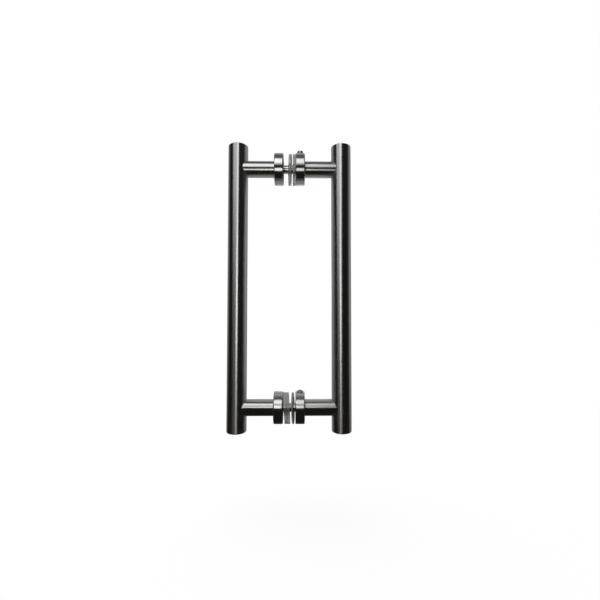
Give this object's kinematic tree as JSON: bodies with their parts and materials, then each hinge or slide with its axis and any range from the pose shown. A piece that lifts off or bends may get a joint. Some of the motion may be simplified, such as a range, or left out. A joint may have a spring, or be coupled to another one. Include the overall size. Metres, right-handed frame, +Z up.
{
  "type": "back-to-back door pull handle",
  "caption": "Back-to-back pull for a glass door: upright round bars on posts and collars, joined through the glass by studs, with clear washers and set screws.",
  "frame": {"origin": "on the mid-plane of the glass gap, halfway between the upper and the lower fixing", "axes": "+Z up along the bars, +X through the glass from the plain-collar pull to the set-screw pull, +Y away from the viewer"},
  "size_m": [0.1192, 0.03, 0.275],
  "materials": {
    "bar_steel": "bright satin stainless steel, ground round the bar",
    "post_steel": "bright satin stainless steel, turned",
    "collar_steel": "bright satin stainless steel, turned with rounded rims",
    "stud_steel": "plain threaded stainless steel",
    "screw_steel": "plain threaded stainless steel with a hexagon socket",
    "clear_washer": "clear soft plastic, slightly cloudy"
  },
  "bodies": {
    "root": {"bottom_first_washer": "clear_washer", "bottom_second_washer": "clear_washer", "bottom_set_screw": "screw_steel", "bottom_stud": "stud_steel", "bottom_thin_washer": "clear_washer", "left_bar": "bar_steel", "left_bar_bottom_cap": "bar_steel", "left_bar_top_cap": "bar_steel", "left_bottom_collar": "collar_steel", "left_bottom_post": "post_steel", "left_top_collar": "collar_steel", "left_top_post": "post_steel", "right_bar": "bar_steel", "right_bar_bottom_cap": "bar_steel", "right_bar_top_cap": "bar_steel", "right_bottom_collar": "collar_steel", "right_bottom_post": "post_steel", "right_top_collar": "collar_steel", "right_top_post": "post_steel", "top_inner_washer": "clear_washer", "top_outer_washer": "clear_washer", "top_set_screw": "screw_steel", "top_stud": "stud_steel"}
  },
  "joints": []
}
